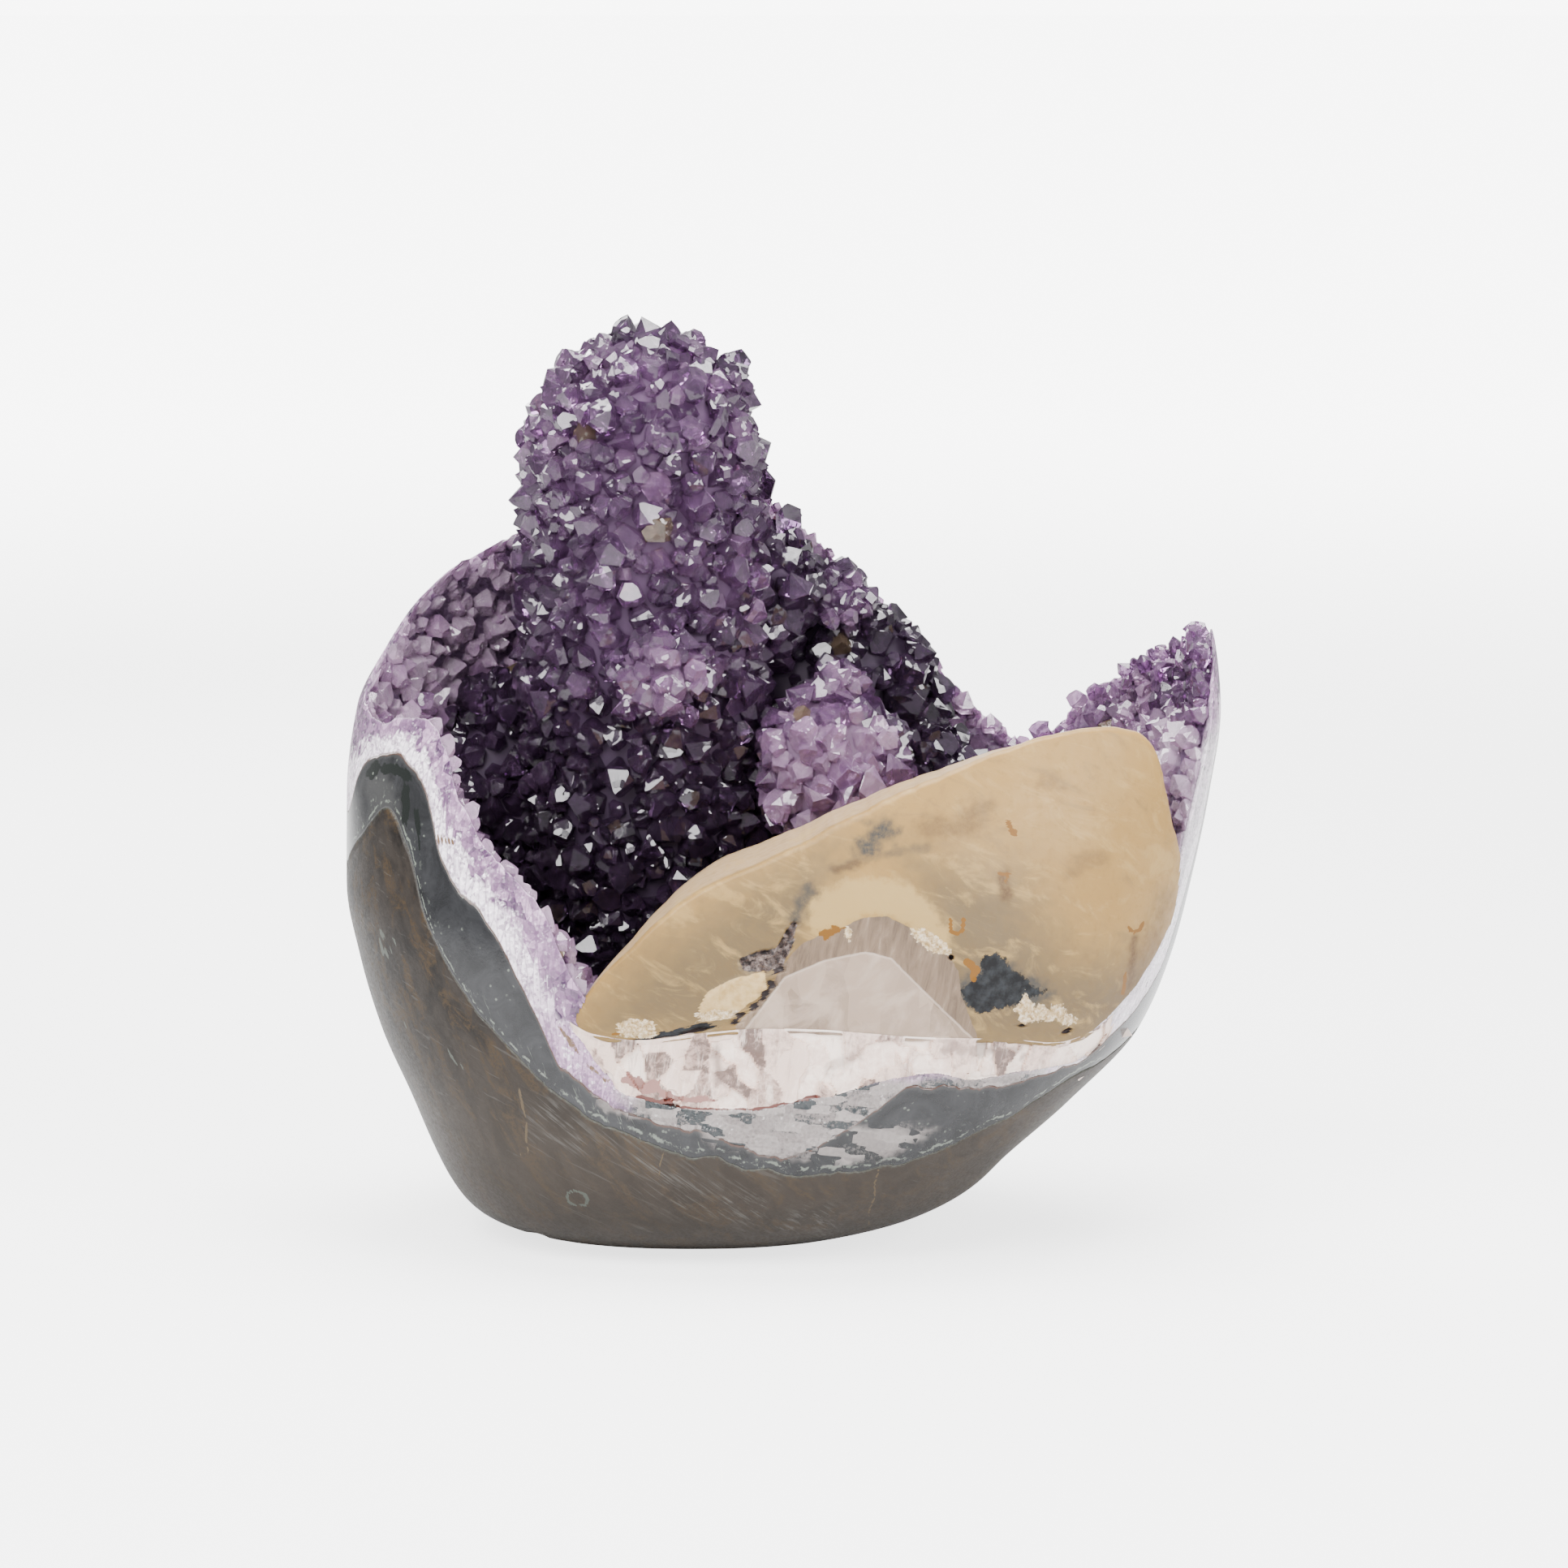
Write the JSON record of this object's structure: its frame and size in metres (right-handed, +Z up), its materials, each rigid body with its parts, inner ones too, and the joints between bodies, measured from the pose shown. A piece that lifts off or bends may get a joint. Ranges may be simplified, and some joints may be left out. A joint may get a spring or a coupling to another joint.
{
  "type": "amethyst druse",
  "caption": "Free-standing amethyst geode half with a stalactite column, an agate and basalt rind ground smooth, and a large honey calcite crystal at the front.",
  "frame": {"origin": "on the surface that the stone stands on, below the middle of its bounding box", "axes": "+Z up; seen from the front, where the calcite crystal is, +X runs to the right and +Y to the back"},
  "size_m": [0.187, 0.124, 0.1962],
  "materials": {
    "basalt": "ground smooth, satin, brown-grey with fine pale veins",
    "agate": "polished, dark blue-grey with a thin pale border",
    "amethyst": "glassy violet crystal faces, translucent, paler at the tips and rims",
    "white_calcite": "white to pale pink, blocky cleavage, satin",
    "honey_calcite": "frosted honey to cream, slightly translucent"
  },
  "bodies": {
    "root": {"basalt_rind": "basalt", "agate_band": "agate", "amethyst_crust": "amethyst", "amethyst_stalactite": "amethyst", "calcite_spar": "white_calcite", "calcite_crystal": "honey_calcite"}
  },
  "joints": []
}
